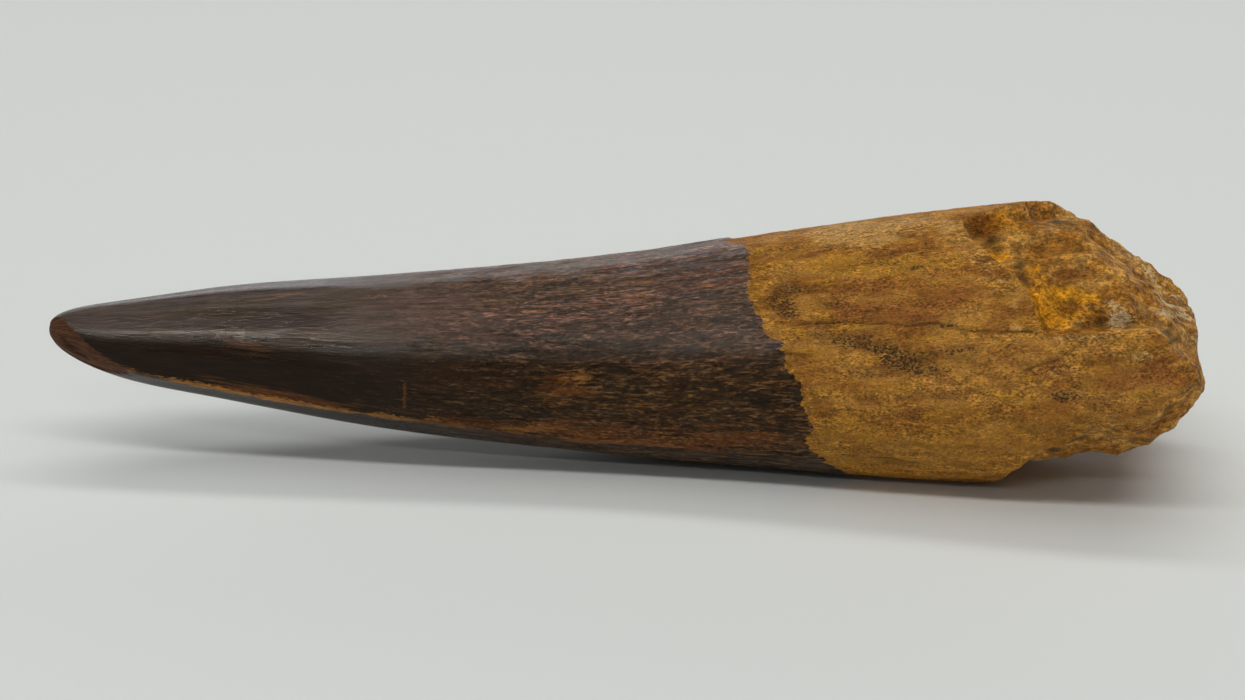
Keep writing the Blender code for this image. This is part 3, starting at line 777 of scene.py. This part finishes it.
class Look:
    """A node material in the making. Each method adds a node and returns its output."""

    def __init__(self, name):
        self.material = bpy.data.materials.new(name)
        self.material.use_nodes = True
        self.tree = self.material.node_tree
        self.shader = self.tree.nodes["Principled BSDF"]

    def feed(self, socket, value):
        """Link an output to a socket, or set the socket to a number or a colour."""
        if isinstance(value, bpy.types.NodeSocket):
            self.tree.links.new(value, socket)
        elif isinstance(value, tuple) and socket.type == "RGBA":
            socket.default_value = (*value[:3], 1.0)
        else:
            socket.default_value = value

    def layer(self, name):
        """A number that the mesh stores at its corners."""
        node = self.tree.nodes.new("ShaderNodeAttribute")
        node.attribute_name = name
        return node.outputs["Fac"]

    def surface_noise(self, length, width, detail, roughness=0.55, distortion=0.0):
        """Cloudy noise that follows the tooth, with a length along it and a width around it, in mm."""
        node = self.tree.nodes.new("ShaderNodeAttribute")
        node.attribute_name = "grain"
        return self.noise(node.outputs["Vector"], length, width, detail, roughness, distortion)

    def space_noise(self, length, width, detail, roughness):
        """Cloudy noise in space, with a length along the tooth and a width across it, in mm."""
        node = self.tree.nodes.new("ShaderNodeTexCoord")
        return self.noise(node.outputs["Object"], length * MM, width * MM, detail, roughness)

    def noise(self, vector, length, width, detail, roughness, distortion=0.0):
        """Cloudy noise from 0 to 1 at a vector, with a length on its first axis and a width on the others."""
        place = self.tree.nodes.new("ShaderNodeVectorMath")
        place.operation = "MULTIPLY"
        self.feed(place.inputs[0], vector)
        place.inputs[1].default_value = (1.0 / length, 1.0 / width, 1.0 / width)
        node = self.tree.nodes.new("ShaderNodeTexNoise")
        self.feed(node.inputs["Vector"], place.outputs["Vector"])
        node.inputs["Scale"].default_value = 1.0
        node.inputs["Detail"].default_value = detail
        node.inputs["Roughness"].default_value = roughness
        node.inputs["Distortion"].default_value = distortion
        return node.outputs["Fac"]

    def math(self, operation, first, second=0.0):
        """Arithmetic on two numbers."""
        node = self.tree.nodes.new("ShaderNodeMath")
        node.operation = operation
        self.feed(node.inputs[0], first)
        self.feed(node.inputs[1], second)
        return node.outputs[0]

    def times(self, first, second):
        """The product of two numbers."""
        return self.math("MULTIPLY", first, second)

    def plus(self, first, second):
        """The sum of two numbers."""
        return self.math("ADD", first, second)

    def most(self, first, second):
        """The greater of two numbers."""
        return self.math("MAXIMUM", first, second)

    def away(self, first, second):
        """How far two numbers are apart."""
        return self.math("ABSOLUTE", self.math("SUBTRACT", first, second))

    def waver(self, noise, width):
        """Noise from half a width below 0 to half a width above it."""
        return self.times(self.math("SUBTRACT", noise, 0.5), width)

    def between(self, value, start, end):
        """0 at start, 1 at end, with an even curve between them. Start may be above end."""
        node = self.tree.nodes.new("ShaderNodeMapRange")
        node.interpolation_type = "SMOOTHSTEP"
        self.feed(node.inputs["Value"], value)
        node.inputs["From Min"].default_value = min(start, end)
        node.inputs["From Max"].default_value = max(start, end)
        node.inputs["To Min"].default_value = 0.0 if start < end else 1.0
        node.inputs["To Max"].default_value = 1.0 if start < end else 0.0
        return node.outputs["Result"]

    def mix(self, share, first, second):
        """A blend of two colours."""
        node = self.tree.nodes.new("ShaderNodeMix")
        node.data_type = "RGBA"
        self.feed(node.inputs[0], share)
        self.feed(node.inputs[6], first)
        self.feed(node.inputs[7], second)
        return node.outputs[2]

    def tint(self, colour, other, where, strength):
        """A colour with another laid over it in some places, as strongly as the last number says."""
        return self.mix(self.times(where, strength), colour, other)

    def blend(self, share, first, second):
        """A blend of two numbers."""
        node = self.tree.nodes.new("ShaderNodeMix")
        node.data_type = "FLOAT"
        self.feed(node.inputs[0], share)
        self.feed(node.inputs[2], first)
        self.feed(node.inputs[3], second)
        return node.outputs[0]

    def shade(self, colour, factor):
        """A colour made darker or lighter by a factor."""
        node = self.tree.nodes.new("ShaderNodeVectorMath")
        node.operation = "SCALE"
        self.feed(node.inputs[0], colour)
        self.feed(node.inputs["Scale"], factor)
        return node.outputs["Vector"]

    def patch(self, name, ragged, softness=0.12, level=0.5, raggedness=1.8):
        """A stain with a ragged edge: its layer, roughened by noise, cut at a level."""
        rough = self.plus(self.layer(name), self.waver(ragged, raggedness))
        return self.between(rough, level - softness, level + softness)

    def vary(self, colour, value, darkest, lightest, spread=0.12):
        """A colour made darker and lighter by noise."""
        share = self.between(value, 0.5 - spread, 0.5 + spread)
        return self.shade(colour, self.blend(share, darkest, lightest))


def crown_colour(look, grown, streaks, threads, grains, wrinkles):
    """Colour of the enamel where it isn't worn: brown with rust, and plum on the upper side that is partly a
    painted sheen from above. Painted shade darkens the wrinkles' grooves, painted highlights lighten their
    crests, and painted shade makes the crown nearly black low down towards the tip.
    """
    clouds = look.surface_noise(length=9.0, width=3.0, detail=2.0)
    hairs = look.surface_noise(length=3.2, width=0.26, detail=1.5)
    upward = look.layer("upward")
    # The upper side is lighter, smoky and plum: partly the enamel's colour, partly a painted sheen from above
    upper_tone_and_sheen = look.mix(grown, CROWN_SMOKE, CROWN_PLUM_SHEEN)
    colour = look.mix(look.between(upward, 0.0, 0.7), CROWN_BROWN, upper_tone_and_sheen)
    colour = look.tint(colour, CROWN_OLIVE, look.between(clouds, 0.42, 0.58), 0.45)
    colour = look.vary(colour, streaks, 0.75, 1.20)
    colour = look.vary(colour, threads, 0.78, 1.22)
    colour = look.mix(grown, colour, look.vary(colour, grains, 0.45, 1.60))
    # Painted shade in the grooves between the wrinkles and painted highlights on their crests
    colour = look.mix(grown, colour, look.shade(colour, look.blend(wrinkles, 0.42, 1.80)))
    golden_hairs = look.times(look.between(hairs, 0.60, 0.68), look.between(upward, 0.55, 0.85))
    colour = look.tint(colour, CROWN_GOLD, golden_hairs, look.blend(grown, 0.10, 0.55))
    rust = look.patch("rust", streaks, 0.35)
    colour = look.tint(colour, look.vary(CROWN_RUST, grains, 0.55, 1.45), rust, 0.7)
    # Painted shade: the crown is made nearly black low down towards the tip
    low_down = look.between(upward, *PAINTED_SHADE_AROUND)
    painted_shade = look.times(look.between(look.layer("from_tip"), *PAINTED_SHADE_ALONG), low_down)
    colour = look.tint(colour, CROWN_PAINTED_SHADE, painted_shade, look.blend(rust, 0.92, 0.3))
    flecks = look.times(look.between(threads, 0.57, 0.64), look.between(grains, 0.50, 0.60))
    flecks = look.times(flecks, look.blend(grown, 0.06, 1.0))
    return look.tint(colour, CROWN_BUFF, flecks, 0.6)


def crown_finish(look):
    """Colour, roughness, gloss and height of the enamel."""
    streaks = look.surface_noise(length=5.0, width=0.70, detail=4.0)
    threads = look.surface_noise(length=2.4, width=0.32, detail=3.0, roughness=0.6)
    net = look.surface_noise(length=2.6, width=0.55, detail=2.0, roughness=0.5, distortion=0.6)
    wrinkles = look.between(look.away(net, 0.5), 0.08, 0.0)
    grains = look.surface_noise(length=0.60, width=0.25, detail=3.0, roughness=0.7)
    from_tip = look.layer("from_tip")
    grown = look.between(from_tip, *GROWN_ALONG)
    stained_golden = look.times(look.between(look.layer("golden"), 0.0, 0.15), 0.75)
    golden = look.times(look.patch("golden", grains, 0.35, level=0.6, raggedness=3.4), stained_golden)
    worn = look.most(golden, worn_carina(look, grains))
    fine_lines = look.most(look.layer("craze"), seams(look, grains))
    facet = look.patch("facet", threads, 0.2)
    chipped = look.vary(look.vary(FACET_BROWN, grains, 0.6, 1.5), streaks, 0.55, 1.35)
    colour = crown_colour(look, grown, streaks, threads, grains, wrinkles)
    colour = look.tint(colour, look.vary(CROWN_GOLD, threads, 0.55, 1.35), worn, 0.85)
    colour = look.tint(colour, CROWN_GOLD, fine_lines, 0.35)
    colour = look.tint(colour, chipped, facet, 0.85)

    raised = look.times(wrinkles, look.blend(grown, *WRINKLE_BUMPS))
    strands = look.times(look.between(threads, 0.34, 0.66), look.blend(grown, *THREAD_BUMPS))
    grit = look.times(look.between(grains, 0.32, 0.68), look.blend(grown, *GRAIN_BUMPS))
    height = look.plus(look.plus(raised, strands), grit)
    roughness = look.blend(grown, *CROWN_ROUGHNESSES)
    roughness = look.blend(look.most(worn, facet), roughness, WORN_ROUGHNESS)
    below_crest = look.times(look.between(look.layer("from_crest"), *GLOSSY_BELOW_CREST),
                             look.blend(look.between(from_tip, *GLOSS_WEAKENS_ALONG), 1.0, 0.4))
    glossy = look.most(look.between(look.layer("upward"), *GLOSSY_AROUND), below_crest)
    gloss = look.blend(facet, look.blend(glossy, DULL_LEVEL, GLOSSY_LEVEL), DULL_LEVEL)
    return colour, roughness, gloss, height


def seams(look, ragged):
    """1 on the fine lines that run across the enamel."""
    wavering = look.plus(look.layer("from_tip"), look.waver(ragged, SEAM_WAVER))
    upward = look.layer("upward")
    total = 0.0
    for middle, lean, lowest, highest in SEAMS:
        away = look.away(wavering, look.plus(look.times(upward, lean), middle))
        within = look.times(look.between(upward, lowest, lowest + SEAM_FADE),
                            look.between(upward, highest, highest - SEAM_FADE))
        total = look.most(total, look.times(look.between(away, *SEAM_HALF_WIDTHS), within))
    return total


def worn_carina(look, ragged):
    """Where the carina's dark enamel is worn through."""
    crest = look.math("ABSOLUTE", look.layer("from_crest"))
    lengths = look.surface_noise(length=5.0, width=30.0, detail=4.0)
    reach = look.times(look.between(lengths, 0.36, 0.58), WEAR_REACH)
    inside = look.math("SUBTRACT", look.plus(reach, look.waver(ragged, 1.4)), crest)
    from_tip = look.layer("from_tip")
    most_worn = look.times(look.between(from_tip, *WEAR_STARTS_ALONG),
                           look.between(from_tip, *WEAR_ENDS_ALONG))
    return look.times(look.between(inside, -0.06, 0.12), look.blend(most_worn, 0.35, 1.0))


def root_finish(look):
    """Colour, roughness and height of the root's whole surface."""
    clouds = look.surface_noise(length=6.0, width=3.0, detail=5.0, roughness=0.6, distortion=0.5)
    tones = look.surface_noise(length=2.6, width=1.2, detail=4.0, roughness=0.65)
    mottle = look.surface_noise(length=0.70, width=0.42, detail=4.0, roughness=0.75)
    specks = look.surface_noise(length=0.26, width=0.18, detail=2.0, roughness=0.6)
    calm = look.between(look.surface_noise(length=4.5, width=2.0, detail=3.0), 0.58, 0.42)
    painted_underside_light = look.between(look.layer("upward"), 0.1, -0.6)
    colour = look.mix(look.between(clouds, 0.42, 0.58), ROOT_BROWN, ROOT_TAN)
    colour = look.tint(colour, ROOT_OCHRE, look.between(tones, 0.50, 0.60), 0.6)
    colour = look.tint(colour, ROOT_RED, look.between(tones, 0.47, 0.38), 0.55)
    colour = look.tint(colour, ROOT_RED, look.patch("red", mottle, 0.25), 0.8)
    colour = look.tint(colour, ROOT_PALE, look.patch("pale", mottle, 0.25), 0.75)
    colour = look.tint(colour, ROOT_OCHRE, look.patch("yellow", mottle, 0.2), 0.8)
    # Painted light: the root's underside is made lighter and more orange
    colour = look.tint(colour, ROOT_OCHRE, painted_underside_light, 0.5)
    mottled = look.vary(look.vary(colour, mottle, 0.62, 1.30, 0.14), specks, 1.30, 0.58, 0.14)
    colour = look.mix(look.blend(calm, 1.0, 0.45), colour, mottled)
    dark = look.patch("dark", mottle, 0.22)
    colour = look.tint(colour, ROOT_DARK, dark, look.blend(look.between(specks, 0.42, 0.56), 0.35, 0.9))
    colour = look.tint(colour, ROOT_DARK, look.between(specks, 0.60, 0.70), 0.6)
    height = look.plus(look.times(look.between(mottle, 0.34, 0.66), MOTTLE_BUMP),
                       look.times(look.between(specks, 0.66, 0.34), SPECK_BUMP))
    return colour, look.blend(dark, ROOT_ROUGHNESS, DARK_STAIN_ROUGHNESS), height


def broken_finish(look):
    """Colour, roughness and height of the lost flake's floor and the broken end."""
    clouds = look.space_noise(length=3.6, width=2.6, detail=4.0, roughness=0.6)
    lumps = look.space_noise(length=1.1, width=0.9, detail=4.0, roughness=0.65)
    grains = look.space_noise(length=0.38, width=0.30, detail=3.0, roughness=0.65)
    colour = look.mix(look.between(clouds, 0.42, 0.58), BREAK_BROWN, BREAK_TAN)
    colour = look.mix(look.patch("amber", lumps, 0.40), colour, BREAK_AMBER)
    colour = look.tint(colour, BREAK_BURNT, look.patch("burnt", lumps, 0.35), 0.85)
    moss = look.patch("moss", grains, 0.25, level=0.6, raggedness=3.2)
    colour = look.tint(colour, BREAK_MOSS, moss, 0.8)
    colour = look.vary(colour, lumps, 0.62, 1.28)
    colour = look.vary(colour, grains, 0.62, 1.35)
    white = look.patch("mineral", grains, 0.30, level=0.5, raggedness=1.6)
    mineral = look.vary(BREAK_MINERAL, grains, 0.75, 1.12)
    colour = look.tint(colour, mineral, white, look.between(lumps, 0.30, 0.52))
    height = look.plus(look.times(look.between(lumps, 0.32, 0.68), LUMP_BUMP),
                       look.times(look.between(grains, 0.32, 0.68), BREAK_GRAIN_BUMP))
    glitter = look.times(look.between(grains, 0.55, 0.62), white)
    return colour, look.blend(glitter, BREAK_ROUGHNESS, GLITTER_ROUGHNESS), height


def tooth_material():
    """Enamel, root and broken faces in one material, parted by the mesh's layers."""
    look = Look("fossil_tooth")
    crown_colour, crown_roughness, crown_gloss, crown_height = crown_finish(look)
    root_colour, root_roughness, root_height = root_finish(look)
    broken_colour, broken_roughness, broken_height = broken_finish(look)
    fringe = look.surface_noise(length=1.0, width=0.45, detail=3.0)
    root = look.between(look.plus(look.layer("past_enamel"), look.waver(fringe, 1.3)), -0.32, -0.18)
    torn = look.between(look.most(look.layer("broken"), look.layer("in_flake")), 0.25, 0.75)

    colour = look.mix(root, crown_colour, look.mix(torn, root_colour, broken_colour))
    roughness = look.blend(root, crown_roughness, look.blend(torn, root_roughness, broken_roughness))
    height = look.blend(root, crown_height, look.blend(torn, root_height, broken_height))
    # Painted shade: the hollows of the fine relief are darker and its crests lighter
    colour = look.shade(colour, look.blend(look.between(look.layer("level"), -1.0, 0.4), 0.70, 1.10))
    colour = look.tint(colour, CROWN_BLACK, look.layer("crack"), 0.65)

    bump = look.tree.nodes.new("ShaderNodeBump")
    bump.inputs["Strength"].default_value = 1.0
    bump.inputs["Distance"].default_value = MM
    look.feed(bump.inputs["Height"], height)
    look.feed(look.shader.inputs["Base Color"], colour)
    look.feed(look.shader.inputs["Roughness"], roughness)
    look.feed(look.shader.inputs["Specular IOR Level"], look.blend(root, crown_gloss, ROOT_GLOSS_LEVEL))
    look.feed(look.shader.inputs["Normal"], bump.outputs["Normal"])
    return look.material


def add_tooth():
    """The visible tooth, in the solid's place."""
    tooth = bpy.data.objects.new("fossil_tooth", tooth_mesh())
    bpy.context.scene.collection.objects.link(tooth)
    tooth.data.materials.append(tooth_material())
    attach(tooth, "root")
    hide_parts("tooth")


def add_floor():
    """A plain pale surface under the tooth."""
    bpy.ops.mesh.primitive_plane_add(size=4.0)
    floor = bpy.context.object
    floor.name = "floor"
    look = Look("pale_floor")
    look.feed(look.shader.inputs["Base Color"], FLOOR_COLOUR)
    look.feed(look.shader.inputs["Roughness"], FLOOR_ROUGHNESS)
    look.feed(look.shader.inputs["Specular IOR Level"], 0.0)
    floor.data.materials.append(look.material)


def add_camera():
    """The camera at the photograph's viewing angle."""
    azimuth, elevation = CAMERA_AZIMUTH, CAMERA_ELEVATION
    back = Vector((math.sin(azimuth) * math.cos(elevation), -math.cos(azimuth) * math.cos(elevation),
                   math.sin(elevation)))
    right = Vector((math.cos(azimuth), math.sin(azimuth), 0.0))
    up = back.cross(right)
    turn = Matrix((right, up, back)).transposed().to_4x4()
    data = bpy.data.cameras.new("camera")
    data.sensor_width = SENSOR_WIDTH
    data.lens = FOCAL_PIXELS * SENSOR_WIDTH / PHOTO_WIDTH
    data.clip_start = 10 * MM
    camera = bpy.data.objects.new("camera", data)
    camera.matrix_world = Matrix.Translation(CAMERA_TARGET + CAMERA_DISTANCE * back) @ turn
    bpy.context.scene.collection.objects.link(camera)
    bpy.context.scene.camera = camera


def add_strip(name, elevation, width, power, distance=1.0, length=1.2, mirrored=True, lighting=True):
    """A long lamp parallel to the tooth, which glossy surfaces mirror, or which lights all, or both.

    Its elevation runs from the camera's side (0) over the top (90). A lamp that is only mirrored is warm.
    """
    data = bpy.data.lights.new(name, "AREA")
    data.shape = "RECTANGLE"
    data.size = length
    data.size_y = width
    data.energy = power
    if not lighting:
        data.color = GLINT_COLOUR
    lamp = bpy.data.objects.new(name, data)
    rise = math.radians(elevation)
    lamp.location = (0.0, -distance * math.cos(rise), distance * math.sin(rise))
    lamp.rotation_euler = (math.pi / 2 - rise, 0.0, 0.0)
    lamp.visible_glossy = mirrored
    lamp.visible_diffuse = lighting
    bpy.context.scene.collection.objects.link(lamp)


def add_lights():
    """Soft light from above, the front and a pale wall, a dim surround, and two lamps only for glints."""
    add_strip("front_strip", elevation=64, width=0.12, power=3.6, mirrored=False)
    add_strip("rear_strip", elevation=114, width=0.14, power=2.65, mirrored=False)
    add_strip("ceiling", elevation=90, width=0.5, power=1.2, distance=0.8, mirrored=False)
    add_strip("low_front_light", elevation=38, width=0.05, power=0.7, length=0.6, mirrored=False)
    add_strip("front_glint", elevation=39, width=0.03, power=11.5, length=2.4, lighting=False)
    add_strip("rear_glint", elevation=105, width=0.08, power=1.8, length=1.6, lighting=False)
    add_strip("back_wall", elevation=165, width=0.5, power=4.3, distance=1.2, length=2.4)
    world = bpy.data.worlds.new("studio")
    world.use_nodes = True
    background = world.node_tree.nodes["Background"]
    background.inputs["Color"].default_value = WORLD_COLOUR
    background.inputs["Strength"].default_value = WORLD_STRENGTH
    bpy.context.scene.world = world
    bpy.context.scene.view_settings.view_transform = "Standard"


add_camera()
add_tooth()
add_floor()
add_lights()
